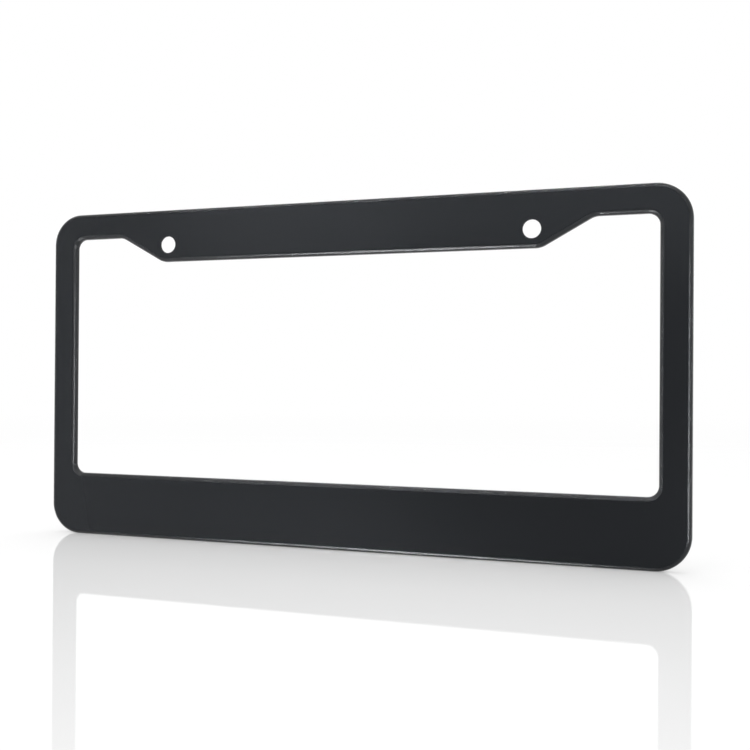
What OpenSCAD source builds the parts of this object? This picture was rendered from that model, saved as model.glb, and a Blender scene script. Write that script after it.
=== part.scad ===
// Number plate holder: one thin stamped sheet that frames a car's plate.
// Every edge of the sheet, outside and around the window, is turned back
// through a small bend, so the piece is an open channel seen from behind.
// It stands upright: X runs across, Z runs up, the front faces -Y.
// The origin is midway between the two screw holes, on the front face.

/* [Outline] */
// overall width, across the turned-back side edges, mm
frame_w = 310; // [300:1:330]
// overall height, across the turned-back top and bottom edges, mm
frame_h = 160; // [152:1:176]
// radius of the four outer corners, mm
corner_r = 15; // [8:0.5:20]

/* [Window] */
// width of the stile on each side of the window, mm
stile_w = 13.2; // [11:0.1:18]
// height of the plain rail below the window, mm
bottom_rail_h = 30.4; // [20:0.1:40]
// height of the top rail at its two ends, mm
top_end_h = 12.6; // [11:0.1:15]
// height of the top rail between the ramps, where it carries the holes, mm
top_mid_h = 25.15; // [24:0.05:32]
// distance from a hole's centre out to the foot of its ramp, mm
ramp_reach = 3.6; // [2:0.1:8]
// distance that each ramp runs outwards while it climbs, mm
ramp_run = 22.75; // [16:0.05:26]
// radius of the window's four corners, mm
window_r = 4.8; // [2:0.1:8]
// radius where a ramp meets the end of the top rail, mm
ramp_top_r = 7; // [2:0.5:10]
// radius of the corner at the foot of a ramp, mm
ramp_foot_r = 8; // [4:0.5:12]

/* [Sheet and turned edges] */
// thickness of the sheet, mm
sheet_t = 0.8; // [0.6:0.1:1.2]
// outside radius of the bend along every edge, mm
bend_r = 2; // [1.5:0.1:2.5]
// depth of the outer rim, from the front face to its rear edge, mm
outer_rim_d = 5; // [3:0.1:8]
// depth of the window rim, from the front face to its rear edge, mm
window_rim_d = 3; // [2.6:0.1:6]

/* [Screw holes] */
// diameter of the two screw holes, mm
hole_d = 8; // [6:0.1:9]
// distance between the hole centres, mm
hole_spacing = 177.8; // [150:0.1:190]
// flat land between a hole and the bend of the window's edge below it, mm
hole_land = 2.15; // [1:0.05:6]
// radius that the punch leaves on a hole's front edge, mm
punch_r = 0.2; // [0.1:0.05:0.4]

/* [Hidden] */
$fn = 48;
// facets of a full turn of the bend, where it is drawn in facets
bend_fn = 48;
// amount by which a cutter or a joined piece passes the face it meets
over = 1;
// hair by which a straight length of edge runs into the corner beside it
seam = 0.001;
// width of the flat strip by which a rim laps onto the face sheet
lap = 2;
// points along each rounded corner of the lap line, which never shows
lap_steps = 6;
// largest step of a rounded corner, in degrees, where it is drawn in facets
facet_angle = 7.5;
right_angle = 90;
half_turn = 180;

// lines of the outline, measured from the midpoint between the holes
half_w = frame_w / 2;
win_mid_y = -(hole_d / 2 + hole_land + bend_r);
top_y = win_mid_y + top_mid_h;
bottom_y = top_y - frame_h;

// lines of the window
win_half_w = half_w - stile_w;
win_bottom_y = bottom_y + bottom_rail_h;
win_end_y = top_y - top_end_h;
foot_x = hole_spacing / 2 + ramp_reach;
crest_x = foot_x + ramp_run;

// Each run follows the right half of an outline, with the sheet on its
// left: a point on the middle line, then corners, then the middle again.
// A corner holds its x, its y and the radius of the finished edge there.
OUTER = [
    [0, bottom_y, 0],
    [half_w, bottom_y, corner_r],
    [half_w, top_y, corner_r],
    [0, top_y, 0]
];
WINDOW = [
    [0, win_mid_y, 0],
    [foot_x, win_mid_y, ramp_foot_r],
    [crest_x, win_end_y, ramp_top_r],
    [win_half_w, win_end_y, window_r],
    [win_half_w, win_bottom_y, window_r],
    [0, win_bottom_y, 0]
];

// the step from point i of a run to the next
function step(run, i) = [run[i + 1].x - run[i].x, run[i + 1].y - run[i].y];
function heading(run, i) = atan2(step(run, i).y, step(run, i).x);
// turn made at corner i: positive to the left, negative to the right
function turn(run, i) =
    i == 0 || i == len(run) - 1 ? 0
    : let (change = heading(run, i) - heading(run, i - 1))
    change > half_turn ? change - 2 * half_turn : change;
// length that the rounding of corner i takes from the sides beside it
function setback(run, i) = run[i].z * tan(abs(turn(run, i)) / 2);
// what is left straight between corner i and the next
function straight(run, i) =
    norm(step(run, i)) - setback(run, i) - setback(run, i + 1);
// +1 at an outside corner of the sheet, -1 at an inside one
function side(run, i) = turn(run, i) > 0 ? 1 : -1;
// point a distance along a compass direction
function along(angle, distance) = distance * [cos(angle), sin(angle)];
function arc_centre(run, i) =
    [run[i].x, run[i].y]
    - along(heading(run, i - 1), setback(run, i))
    + along(heading(run, i - 1) + side(run, i) * right_angle, run[i].z);

// Line down the middle of the lap, round the whole of an outline. Point k
// of a corner's arc lies this far round from where the arc starts.
function lap_point(run, i, k) =
    arc_centre(run, i)
    + along(
        heading(run, i - 1) - side(run, i) * right_angle
            + turn(run, i) * k / lap_steps,
        run[i].z - side(run, i) * (bend_r + lap / 2)
    );
function lap_half(run) = [
    for (i = [1 : len(run) - 2], k = [0 : lap_steps]) lap_point(run, i, k)
];
function lap_line(run) =
    let (half = lap_half(run))
    concat(
        half,
        [for (i = [len(half) - 1 : -1 : 0]) [-half[i].x, half[i].y]]
    );

// Section of a turned-back edge. The finished edge is at x = 0, the sheet
// lies towards -x, and y runs from the front face back to the rim's edge.
module edge_section(depth) {
    translate([-bend_r, -bend_r])
        intersection() {
            difference() {
                circle(r = bend_r, $fn = bend_fn);
                circle(r = bend_r - sheet_t, $fn = bend_fn);
            }
            square(bend_r);
        }
    translate([-sheet_t, -depth])
        square([sheet_t, depth - bend_r]);
    translate([-bend_r - lap, -sheet_t])
        square([lap, sheet_t]);
}

// a straight length of edge along +X, with the sheet on its +Y side
module straight_edge(length, depth) {
    rotate([0, 0, -right_angle])
        rotate([right_angle, 0, 0])
            translate([0, 0, -length])
                linear_extrude(height = length)
                    edge_section(depth);
}

// The edge round a corner that turns left from +X, round its centre. Where
// the sheet has an inside corner, its section faces away from the centre.
// It is swept half the angle too far at both ends and trimmed to the planes
// of the straight lengths, with a facet's edge on each of those planes.
module corner_edge(angle, radius, depth, outside) {
    reach = radius + bend_r + lap + over;
    facets = 4 * ceil(angle / facet_angle / 2);
    difference() {
        rotate_extrude(
            start = -right_angle - angle / 2,
            angle = 2 * angle,
            $fn = floor(half_turn * facets / angle)
        )
            translate([radius, 0])
                mirror([outside ? 0 : 1, 0])
                    edge_section(depth);
        translate([-reach, -reach, -depth - over])
            cube([reach, 2 * reach, depth + 2 * over]);
        rotate([0, 0, angle])
            translate([0, -reach, -depth - over])
                cube([reach, 2 * reach, depth + 2 * over]);
    }
}

// The edge from point i of a run to its end. Each length and each corner
// starts in the frame where the last one stopped, so their sections meet.
module follow(run, i, depth) {
    last = i == len(run) - 2;
    radius = run[i + 1].z;
    before = i == 0 ? 0 : seam;
    after = last ? over : seam;
    translate([-before, 0, 0])
        straight_edge(before + straight(run, i) + after, depth);
    if (!last)
        translate([straight(run, i), side(run, i + 1) * radius, 0]) {
            mirror([0, side(run, i + 1) > 0 ? 0 : 1, 0])
                corner_edge(abs(turn(run, i + 1)), radius, depth, side(run, i + 1) > 0);
            rotate([0, 0, turn(run, i + 1)])
                translate([0, -side(run, i + 1) * radius, 0])
                    follow(run, i + 1, depth);
        }
}

// the whole rim along an outline: one half and its mirror image
module rim(run, depth) {
    for (flip = [0, 1])
        mirror([flip, 0, 0])
            translate([run[0].x, run[0].y, 0])
                follow(run, 0, depth);
}

// the flat sheet, cut along the lap lines so that the rims cover its edges
module face_sheet() {
    translate([0, 0, -sheet_t])
        linear_extrude(height = sheet_t)
            difference() {
                polygon(lap_line(OUTER));
                polygon(lap_line(WINDOW));
            }
}

// one punched hole, with the soft edge that the punch leaves in front
module punched_hole() {
    translate([0, 0, -sheet_t - over])
        cylinder(d = hole_d, h = sheet_t + 2 * over);
    translate([0, 0, -punch_r])
        rotate_extrude()
            translate([hole_d / 2 - over, 0])
                difference() {
                    square([over + punch_r, punch_r + over]);
                    translate([over + punch_r, 0])
                        circle(r = punch_r);
                }
}

module plate_frame() {
    color([0.045, 0.047, 0.052])
        rotate([right_angle, 0, 0])
            difference() {
                union() {
                    face_sheet();
                    rim(OUTER, outer_rim_d);
                    rim(WINDOW, window_rim_d);
                }
                for (x = [-hole_spacing / 2, hole_spacing / 2])
                    translate([x, 0, 0])
                        punched_hole();
            }
}

plate_frame();
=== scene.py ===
# %% [markdown]
# # A number plate holder of stamped sheet metal
#
# The real piece is one thin sheet. A press cuts its outline, its window and
# two screw holes, and then turns every edge back through a small bend, so
# that it looks solid from the front and is an open channel behind. It is
# powder coated in satin black.
#
# The CAD model has the true sizes. This lesson models the same sheet again
# with smooth bends, coats it, and sets up a small white studio around it.

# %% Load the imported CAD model
import math
import bpy
import mathutils
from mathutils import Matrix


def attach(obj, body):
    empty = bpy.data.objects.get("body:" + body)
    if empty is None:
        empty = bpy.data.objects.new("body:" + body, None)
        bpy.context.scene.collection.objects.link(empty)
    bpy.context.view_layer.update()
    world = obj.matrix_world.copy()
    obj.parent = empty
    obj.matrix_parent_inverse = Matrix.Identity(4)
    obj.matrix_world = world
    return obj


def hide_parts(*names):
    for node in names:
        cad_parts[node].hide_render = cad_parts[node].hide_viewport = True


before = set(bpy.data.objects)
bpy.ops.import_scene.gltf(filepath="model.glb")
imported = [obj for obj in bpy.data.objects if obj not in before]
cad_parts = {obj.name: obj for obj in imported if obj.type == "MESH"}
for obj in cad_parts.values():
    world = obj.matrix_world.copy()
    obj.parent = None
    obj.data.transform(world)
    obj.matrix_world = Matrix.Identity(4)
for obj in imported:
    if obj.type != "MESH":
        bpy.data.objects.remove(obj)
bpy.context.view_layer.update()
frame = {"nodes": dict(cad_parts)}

print("CAD nodes:", ", ".join(frame["nodes"]))

# %% [markdown]
# ## Measures
#
# Blender works in metres here, and sheet metal in millimetres, so each
# measure is written in millimetres and converted where it is used. They are
# the sizes of the pressed sheet: rails, ramps, corner radii and bends. Two
# places count as the same when they are closer than the tolerance.

# %% Sizes of the pressed sheet, in millimetres
MM = 0.001
FRAME_W, FRAME_H = 310, 160
STILE_W, BOTTOM_RAIL_H, TOP_END_H, TOP_MID_H = 13.2, 30.4, 12.6, 25.15
CORNER_R, WINDOW_R, RAMP_FOOT_R, RAMP_TOP_R = 15, 4.8, 8, 7
RAMP_REACH, RAMP_RUN = 3.6, 22.75
SHEET_T, BEND_R = 0.8, 2
OUTER_RIM_D, WINDOW_RIM_D = 5, 3
HOLE_D, HOLE_SPACING, HOLE_LAND = 8, 177.8, 2.15
PUNCH_R, LIP_R = 0.2, 0.15
TOLERANCE = 0.01

# %% Lines of the outline, measured from the midpoint between the holes
window_mid = -(HOLE_D / 2 + HOLE_LAND + BEND_R)
top = window_mid + TOP_MID_H
bottom = top - FRAME_H
side = FRAME_W / 2
window_side = side - STILE_W
window_end = top - TOP_END_H
window_bottom = bottom + BOTTOM_RAIL_H
ramp_foot = HOLE_SPACING / 2 + RAMP_REACH
ramp_top = ramp_foot + RAMP_RUN
print(f"sheet {FRAME_W} x {FRAME_H} mm, from z = {bottom:.2f} to {top:.2f}")

# %% [markdown]
# ## Small helpers for modelling
#
# Operators act on whatever is selected, and the loaded CAD nodes are, so
# each step starts from an empty selection. Parts of a mesh are then picked
# by where they are, as a modeller picks them by eye.

# %% Start a piece, and pick vertices or edges by their place
def start_piece(name):
    """Takes the newly added object, and names it."""
    piece = bpy.context.object
    piece.name = piece.data.name = name
    return piece


def to_object_mode():
    if bpy.context.mode != "OBJECT":
        bpy.ops.object.mode_set(mode="OBJECT")


def edit(piece, mode="VERT"):
    to_object_mode()
    bpy.ops.object.select_all(action="DESELECT")
    piece.select_set(True)
    bpy.context.view_layer.objects.active = piece
    bpy.ops.object.mode_set(mode="EDIT")
    bpy.ops.mesh.select_mode(type=mode)
    bpy.ops.mesh.select_all(action="DESELECT")
    bpy.ops.object.mode_set(mode="OBJECT")


def pick_vertices(piece, wanted):
    """Selects the vertices for which wanted(x, y, z), in mm, is true."""
    edit(piece)
    for vertex in piece.data.vertices:
        vertex.select = wanted(*(vertex.co / MM))
    bpy.ops.object.mode_set(mode="EDIT")


def pick_edges(piece, wanted):
    """Selects the edges for which wanted(a, b), their ends in mm, is true."""
    edit(piece, "EDGE")
    points = [vertex.co / MM for vertex in piece.data.vertices]
    for edge in piece.data.edges:
        edge.select = wanted(*(points[i] for i in edge.vertices))
    bpy.ops.object.mode_set(mode="EDIT")


def count(piece, what):
    to_object_mode()
    mesh = piece.data
    print(f"{what}: {len(mesh.vertices)} vertices, {len(mesh.polygons)} faces")


# %% [markdown]
# ## The outline of one half
#
# The sheet is its own mirror image, so only the right half is drawn. A
# plane is shrunk to one vertex, and that vertex is extruded from corner to
# corner: along the bottom, up the side, back along the top, down to the
# window and round it. Filling the loop gives the flat blank.

# %% Draw the half outline, corner by corner
CORNERS = [
    (0, bottom, 0), (side, bottom, CORNER_R), (side, top, CORNER_R), (0, top, 0),
    (0, window_mid, 0), (ramp_foot, window_mid, RAMP_FOOT_R),
    (ramp_top, window_end, RAMP_TOP_R), (window_side, window_end, WINDOW_R),
    (window_side, window_bottom, WINDOW_R), (0, window_bottom, 0),
]
bpy.ops.object.select_all(action="DESELECT")
first_x, first_z, _ = CORNERS[0]
bpy.ops.mesh.primitive_plane_add(size=MM, location=(0, 0, 0))
sheet = start_piece("stamped_frame")
bpy.ops.object.mode_set(mode="EDIT")
bpy.ops.mesh.select_all(action="SELECT")
bpy.ops.mesh.merge(type="CENTER")
bpy.ops.transform.translate(value=(first_x * MM, 0, first_z * MM))
for (x0, z0, _), (x1, z1, _) in zip(CORNERS, CORNERS[1:]):
    bpy.ops.mesh.extrude_vertices_move(
        TRANSFORM_OT_translate={"value": ((x1 - x0) * MM, 0, (z1 - z0) * MM)}
    )
bpy.ops.mesh.select_all(action="SELECT")
bpy.ops.mesh.edge_face_add()
count(sheet, "flat blank")

# %% [markdown]
# ## Round the corners in plan
#
# Each corner has its own radius. The vertex bevel asks how far to cut back
# along the two sides, which is the radius times the tangent of half the
# turn: the full radius at a square corner, and much less at a ramp's end.
# A bevel profile of a half gives a true arc.

# %% Bevel each corner by its own radius
def turn_at(i):
    """How far the outline turns at corner i, in radians."""
    (ax, az, _), (bx, bz, _), (cx, cz, _) = CORNERS[i - 1], CORNERS[i], CORNERS[i + 1]
    before, after = mathutils.Vector((bx - ax, bz - az)), mathutils.Vector((cx - bx, cz - bz))
    return before.angle(after)


DEGREES_PER_SEGMENT = 5
FEWEST_SEGMENTS = 6
ROUND = 0.5
for i, (x, z, radius) in enumerate(CORNERS):
    if radius:
        pick_vertices(sheet, lambda vx, vy, vz: math.hypot(vx - x, vz - z) < TOLERANCE)
        turn = turn_at(i)
        bpy.ops.mesh.bevel(
            affect="VERTICES", offset=radius * math.tan(turn / 2) * MM,
            segments=max(FEWEST_SEGMENTS, round(math.degrees(turn) / DEGREES_PER_SEGMENT)),
            profile=ROUND,
        )
count(sheet, "blank with round corners")

# %% [markdown]
# ## Turn the edges back
#
# The press folds all edges at once. Here the outer line is extruded 5 mm
# to the rear and the window's line 3 mm, and the sharp fold that this
# leaves along the front becomes the bend: a bevel of 2 mm radius. Edges on
# the mirror plane are left alone, because the sheet runs on there.

# %% Extrude the two rims
def is_outer(point):
    """True on the outer line and False on the window's: their middle line divides them."""
    return (
        point.x > window_side + STILE_W / 2
        or point.z > (top + window_end) / 2
        or point.z < (bottom + window_bottom) / 2
    )


def on_front(a, b):
    """True for an edge of the flat front that isn't on the mirror plane."""
    in_front = max(abs(a.y), abs(b.y)) < TOLERANCE
    return in_front and max(abs(a.x), abs(b.x)) > TOLERANCE


for outer, depth in ((True, OUTER_RIM_D), (False, WINDOW_RIM_D)):
    pick_edges(sheet, lambda a, b: on_front(a, b) and is_outer(a) == outer)
    bpy.ops.mesh.extrude_edges_move(TRANSFORM_OT_translate={"value": (0, depth * MM, 0)})
count(sheet, "blank with its rims")

# %% Round the fold into a bend
BEND_SEGMENTS = 10
pick_edges(sheet, on_front)
bpy.ops.mesh.bevel(
    affect="EDGES", offset=BEND_R * MM, segments=BEND_SEGMENTS, profile=ROUND, clamp_overlap=False
)
count(sheet, "half sheet with its bends")

# %% [markdown]
# ## The whole sheet, its thickness and its holes
#
# A mirror gives the left half and joins it along the middle line. Solidify
# then gives the skin the thickness of the sheet, towards the inside of the
# channel, and a boolean punches the two holes, as the real tool does.

# %% Mirror the half, then give the sheet its thickness
def apply_modifier(piece, kind, **settings):
    bpy.context.view_layer.objects.active = piece
    modifier = piece.modifiers.new(kind.lower(), kind)
    for name, value in settings.items():
        setattr(modifier, name, value)
    bpy.ops.object.modifier_apply(modifier=modifier.name)


bpy.ops.object.mode_set(mode="OBJECT")
apply_modifier(sheet, "MIRROR", merge_threshold=TOLERANCE * MM)
edit(sheet)
bpy.ops.object.mode_set(mode="EDIT")
bpy.ops.mesh.select_all(action="SELECT")
bpy.ops.mesh.normals_make_consistent(inside=False)
bpy.ops.object.mode_set(mode="OBJECT")
largest = max(sheet.data.polygons, key=lambda face: face.area)
print("the flat face looks along y =", round(largest.normal.y, 3))
apply_modifier(sheet, "SOLIDIFY", thickness=SHEET_T * MM, offset=-1, use_even_offset=True)
count(sheet, "sheet with its thickness")

# %% Punch the screw holes
PUNCH_SIDES = 72
PUNCH_LENGTH = 4
for x in (-HOLE_SPACING / 2, HOLE_SPACING / 2):
    bpy.ops.object.select_all(action="DESELECT")
    bpy.ops.mesh.primitive_cylinder_add(
        vertices=PUNCH_SIDES, radius=HOLE_D / 2 * MM, depth=PUNCH_LENGTH * MM,
        location=(x * MM, 0, 0), rotation=(math.pi / 2, 0, 0),
    )
    punch = start_piece("punch")
    apply_modifier(sheet, "BOOLEAN", operation="DIFFERENCE", solver="EXACT", object=punch)
    bpy.data.objects.remove(punch)
count(sheet, "punched sheet")

# %% [markdown]
# ## Soften the cut edges
#
# Powder coat never leaves a razor edge. The punch rounds the front edge of
# each hole, and the coat rounds the two rear edges of each rim a little, so
# each of them catches a thin line of light.

# %% Round the hole edges and the rims' rear edges
HOLE_EDGE_BAND = 0.05


def is_on_hole(point):
    reach = math.hypot(abs(point.x) - HOLE_SPACING / 2, point.z)
    return abs(reach - HOLE_D / 2) < HOLE_EDGE_BAND and abs(point.y) < TOLERANCE


def on_hole(a, b):
    return is_on_hole(a) and is_on_hole(b)


def on_rear(a, b):
    level = abs(a.y - b.y) < TOLERANCE
    return level and min(abs(a.y - OUTER_RIM_D), abs(a.y - WINDOW_RIM_D)) < TOLERANCE


for wanted, radius, segments in ((on_hole, PUNCH_R, 3), (on_rear, LIP_R, 2)):
    pick_edges(sheet, wanted)
    bpy.ops.mesh.bevel(affect="EDGES", offset=radius * MM, segments=segments, profile=ROUND)
    count(sheet, f"after rounding edges by {radius} mm")

# %% [markdown]
# ## Smooth bends, flat faces
#
# The bends have to shade as curves and the rails as true flats. Smoothing
# by angle keeps the cut edges crisp, and weighted normals let each large
# flat face set the shading along its own border.

# %% Shade the sheet, hang it on the root body, and hide the CAD node that it stands for
SMOOTH_BELOW = math.radians(50)
to_object_mode()
bpy.ops.object.select_all(action="DESELECT")
sheet.select_set(True)
bpy.context.view_layer.objects.active = sheet
bpy.ops.object.shade_smooth_by_angle(angle=SMOOTH_BELOW)
apply_modifier(sheet, "WEIGHTED_NORMAL", keep_sharp=True, weight=100)
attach(sheet, "root")
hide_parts("plate_frame")
print("sheet:", sheet.name, "in place of plate_frame")

# %% [markdown]
# ## Shader maths as Python
#
# A wrapped socket lets a material read like a formula. Numbers alone are
# worked out in Python, and only what varies over the surface adds nodes.

# %% A socket that takes part in Python expressions
class Shade:
    """One output socket, with operators that add Math nodes behind it."""

    def __init__(self, tree, socket=None):
        self.tree, self.socket = tree, socket

    def node(self, kind, inputs, output=0, **settings):
        """Adds any node: its settings first, then its sockets' values or links."""
        made = self.tree.nodes.new(kind)
        for name, value in settings.items():
            setattr(made, name, value)
        for name, value in inputs.items():
            if isinstance(value, Shade):
                self.tree.links.new(value.socket, made.inputs[name])
            else:
                made.inputs[name].default_value = value
        return Shade(self.tree, made.outputs[output] if made.outputs else None)

    def maths(self, operation, first, second):
        return self.node("ShaderNodeMath", {0: first, 1: second}, operation=operation)

    def __add__(self, other):
        return self.maths("ADD", self, other)

    def __radd__(self, other):
        return self.maths("ADD", other, self)

    def __sub__(self, other):
        return self.maths("SUBTRACT", self, other)

    def __rsub__(self, other):
        return self.maths("SUBTRACT", other, self)

    def __mul__(self, other):
        return self.maths("MULTIPLY", self, other)

    def __rmul__(self, other):
        return self.maths("MULTIPLY", other, self)


def new_material(name):
    material = bpy.data.materials.new(name)
    material.use_nodes = True
    material.node_tree.nodes.clear()
    return material, Shade(material.node_tree)


def finish_material(shade, surface):
    shade.node("ShaderNodeOutputMaterial", {"Surface": surface})


# %% [markdown]
# ## The powder coat
#
# Satin black powder is near black, and its gloss has a trace of blue. It
# mirrors less than a clear lacquer does, so the flats stay dark in a white
# room. It melts into a coat that is smooth to the finger but not to the
# light: a very shallow orange peel, about a millimetre across, with a finer
# grain on it, and a gloss that drifts a little over each rail. All of it is
# read from the sheet's own coordinates, so it runs unbroken over faces and
# bends.
#
# Powder flows together fuller and glossier where the sheet bends away. The
# sheet's own normal tells where: it points straight forward or back on the
# flats and turns away from Y on every bend and rim. There a thin clear film
# is added, which is what makes the edges of the frame glint. It is measured
# by the square of the normal's Y, which is 1 on a flat and 0 on a rim wall.

# %% Mix the coat
COAT_BLACK = (0.0046, 0.0051, 0.0062, 1)
COAT_ROUGHNESS = 0.2
COAT_SPECULAR = 0.18
COAT_TINT = (0.87, 0.93, 1.0, 1)
PEEL_MM, GRAIN_MM, DRIFT_MM = 1.4, 0.25, 60
DRIFT_IN_GLOSS, GRAIN_IN_GLOSS = 0.06, 0.08
GRAIN_IN_HEIGHT = 0.35
PEEL_STRENGTH, PEEL_DEPTH_MM = 0.012, 0.02
FILM_WEIGHT = 0.42
FILM_STARTS, FILM_IS_FULL = 0.995, 0.88
material, coat = new_material("satin_black_coat")
place = coat.node("ShaderNodeTexCoord", {}, output="Object")


def speckle(size_mm):
    """Noise from 0 to 1 whose grains are about size_mm across."""
    return coat.node(
        "ShaderNodeTexNoise", {"Vector": place, "Scale": 1 / (size_mm * MM), "Detail": 2},
        output="Fac",
    )


peel, grain, drift = speckle(PEEL_MM), speckle(GRAIN_MM), speckle(DRIFT_MM)
roughness = COAT_ROUGHNESS + (drift - 0.5) * DRIFT_IN_GLOSS + (grain - 0.5) * GRAIN_IN_GLOSS
bump = coat.node("ShaderNodeBump", {
    "Height": peel + grain * GRAIN_IN_HEIGHT,
    "Strength": PEEL_STRENGTH, "Distance": PEEL_DEPTH_MM * MM,
}, output="Normal")
facing = coat.node("ShaderNodeTexCoord", {}, output="Normal")
facing_y = coat.node("ShaderNodeSeparateXYZ", {"Vector": facing}, output="Y")
film = coat.node("ShaderNodeMapRange", {
    "Value": facing_y * facing_y, "From Min": FILM_STARTS, "From Max": FILM_IS_FULL,
    "To Min": 0, "To Max": FILM_WEIGHT,
})
finish_material(coat, coat.node("ShaderNodeBsdfPrincipled", {
    "Base Color": COAT_BLACK, "Roughness": roughness, "Specular IOR Level": COAT_SPECULAR,
    "Specular Tint": COAT_TINT, "Normal": bump,
    "Coat Weight": film, "Coat Roughness": COAT_ROUGHNESS,
}))
sheet.data.materials.clear()
sheet.data.materials.append(material)
print("coat:", len(material.node_tree.nodes), "nodes")

# %% [markdown]
# ## The table
#
# The frame stands upright on a glossy white acrylic table. The table is
# mostly a real surface: it takes the frame's shadow, and like any gloss it
# mirrors the frame more strongly the flatter one looks along it. About a
# fifth of it is plain white light, which softens shadow and reflection, and
# further away all of it is, so that no horizon shows. Rays that the coat
# mirrors see that white too, and not only rays from the camera.

# %% Lay the table under the bottom edge
TABLE_SIZE = 12
WHITE = (1, 1, 1, 1)
TABLE_GREY = 0.79
TABLE_ROUGHNESS = 0.03
TABLE_SPECULAR = 0.5
FADE_START, FADE_END = 0.5, 2
NEAR_GLOW = 0.22
bpy.ops.object.select_all(action="DESELECT")
bpy.ops.mesh.primitive_plane_add(size=TABLE_SIZE, location=(0, 0, bottom * MM))
table = start_piece("studio_table")
material, acrylic = new_material("white_acrylic")
place = acrylic.node("ShaderNodeTexCoord", {}, output="Object")
distance = acrylic.node("ShaderNodeVectorMath", {0: place}, output="Value", operation="LENGTH")
glow = acrylic.node("ShaderNodeMapRange", {
    "Value": distance, "From Min": FADE_START, "From Max": FADE_END, "To Min": NEAR_GLOW, "To Max": 1,
})
seen = acrylic.node("ShaderNodeLightPath", {}, output="Is Camera Ray")
seen_in_gloss = acrylic.node("ShaderNodeLightPath", {}, output="Is Glossy Ray")
seen_through = acrylic.node("ShaderNodeLightPath", {}, output="Is Transmission Ray")
lit = acrylic.node("ShaderNodeBsdfPrincipled", {
    "Base Color": (TABLE_GREY, TABLE_GREY, TABLE_GREY, 1), "Roughness": TABLE_ROUGHNESS,
    "Specular IOR Level": TABLE_SPECULAR,
})
white = acrylic.node("ShaderNodeEmission", {"Color": WHITE, "Strength": 1})
finish_material(acrylic, acrylic.node("ShaderNodeMixShader", {
    0: glow * (seen + seen_in_gloss + seen_through), 1: lit, 2: white,
}))
table.data.materials.append(material)
print("table at z =", round(bottom * MM, 4), "m")

# %% [markdown]
# ## The white room
#
# An even white world is the backdrop from every side and the main light. At
# strength 1 it is plain white, and colours show about as they are written.

# %% Fill the room with white
world = bpy.data.worlds.new("white_room")
bpy.context.scene.world = world
world.use_nodes = True
world.node_tree.nodes.clear()
room = Shade(world.node_tree)
room.node("ShaderNodeOutputWorld", {
    "Surface": room.node("ShaderNodeBackground", {"Color": WHITE, "Strength": 1})
})
print("world:", world.name)

# %% [markdown]
# ## Lamps
#
# One soft lamp overhead lights the table. A black coat is then shaped by
# what it mirrors, so the other lamps are seen only in gloss and light
# nothing else. The broad ones give the rails their slow fall from left to
# right and lift the bends. The strips beside the frame and the lamps under
# the table draw a thin bright line along the bends that face them. The
# table casts no shadow, so the lamps below it shine through, as through
# translucent acrylic.

# %% Hang the overhead lamp and the gloss lamps
MIDDLE = (0, 0, -0.06)
STRIP_AIM_X = 0.15


def area_lamp(name, place, aim, width, height, power):
    """A rectangular lamp at place, in metres, turned towards aim."""
    bpy.ops.object.light_add(type="AREA", location=place)
    lamp = bpy.context.object
    lamp.name = lamp.data.name = name
    lamp.data.shape, lamp.data.size, lamp.data.size_y = "RECTANGLE", width, height
    lamp.data.energy = power
    lamp.data.cycles.use_multiple_importance_sampling = False
    lamp.visible_camera = False
    look = mathutils.Vector(aim) - mathutils.Vector(place)
    lamp.rotation_euler = look.to_track_quat("-Z", "Y").to_euler()
    print(f"{name}: {power} W over {width} x {height} m")
    return lamp


bpy.ops.object.select_all(action="DESELECT")
area_lamp("overhead_lamp", (0, -0.1, 1.2), MIDDLE, 1.6, 1.2, 9.0)
for name, place, aim, width, height, power in (
    ("brow", (0, -0.85, 0.75), MIDDLE, 1.6, 0.9, 5.2),
    ("front", (-0.25, -1.2, 0.29), MIDDLE, 1.0, 0.3, 1.35),
    ("left_front", (-0.9, -1.2, -0.12), MIDDLE, 1.1, 1.0, 2.8),
    ("left_side", (-1.3, -0.55, 0), MIDDLE, 1.2, 1.0, 2.1),
    ("right_side", (0.9, 0, 0), MIDDLE, 1.0, 0.7, 0.8),
    ("right_strip", (0.413, -0.539, -0.03), (STRIP_AIM_X, 0, -0.03), 0.39, 0.16, 1.1),
    ("right_low_strip", (0.413, -0.539, -0.19), (STRIP_AIM_X, 0, -0.19), 0.39, 0.16, 1.8),
    ("under_table", (-0.3, -0.655, -0.972), (0.03, 0, -0.14), 0.42, 0.85, 12.0),
    ("table_front", (-0.37, -0.973, -0.56), (0.03, 0, -0.14), 0.4, 0.3, 2.0),
    ("table_glow", (-0.15, -0.3, -0.5), MIDDLE, 0.9, 0.4, 0.5),
):
    lamp = area_lamp(name + "_gloss", place, aim, width, height, power)
    lamp.visible_diffuse = False
table.visible_shadow = False

# %% [markdown]
# ## The camera
#
# It stands low and close, to the right of the frame, so the near end looks
# taller than the far end. Its place is in metres, its turn in degrees and
# its lens in millimetres. The standard view shows white as white.

# %% Place the camera
CAMERA_PLACE = (0.17177, -0.43087, -0.06522)
CAMERA_TURN = (90.302, -0.394, 19.599)
CAMERA_LENS = 48.79
bpy.ops.object.camera_add(
    location=CAMERA_PLACE, rotation=[math.radians(angle) for angle in CAMERA_TURN]
)
camera = bpy.context.object
camera.name = "studio_camera"
camera.data.lens = CAMERA_LENS
bpy.context.scene.camera = camera
bpy.context.scene.view_settings.view_transform = "Standard"
print("camera:", camera.name, "lens", CAMERA_LENS, "mm")
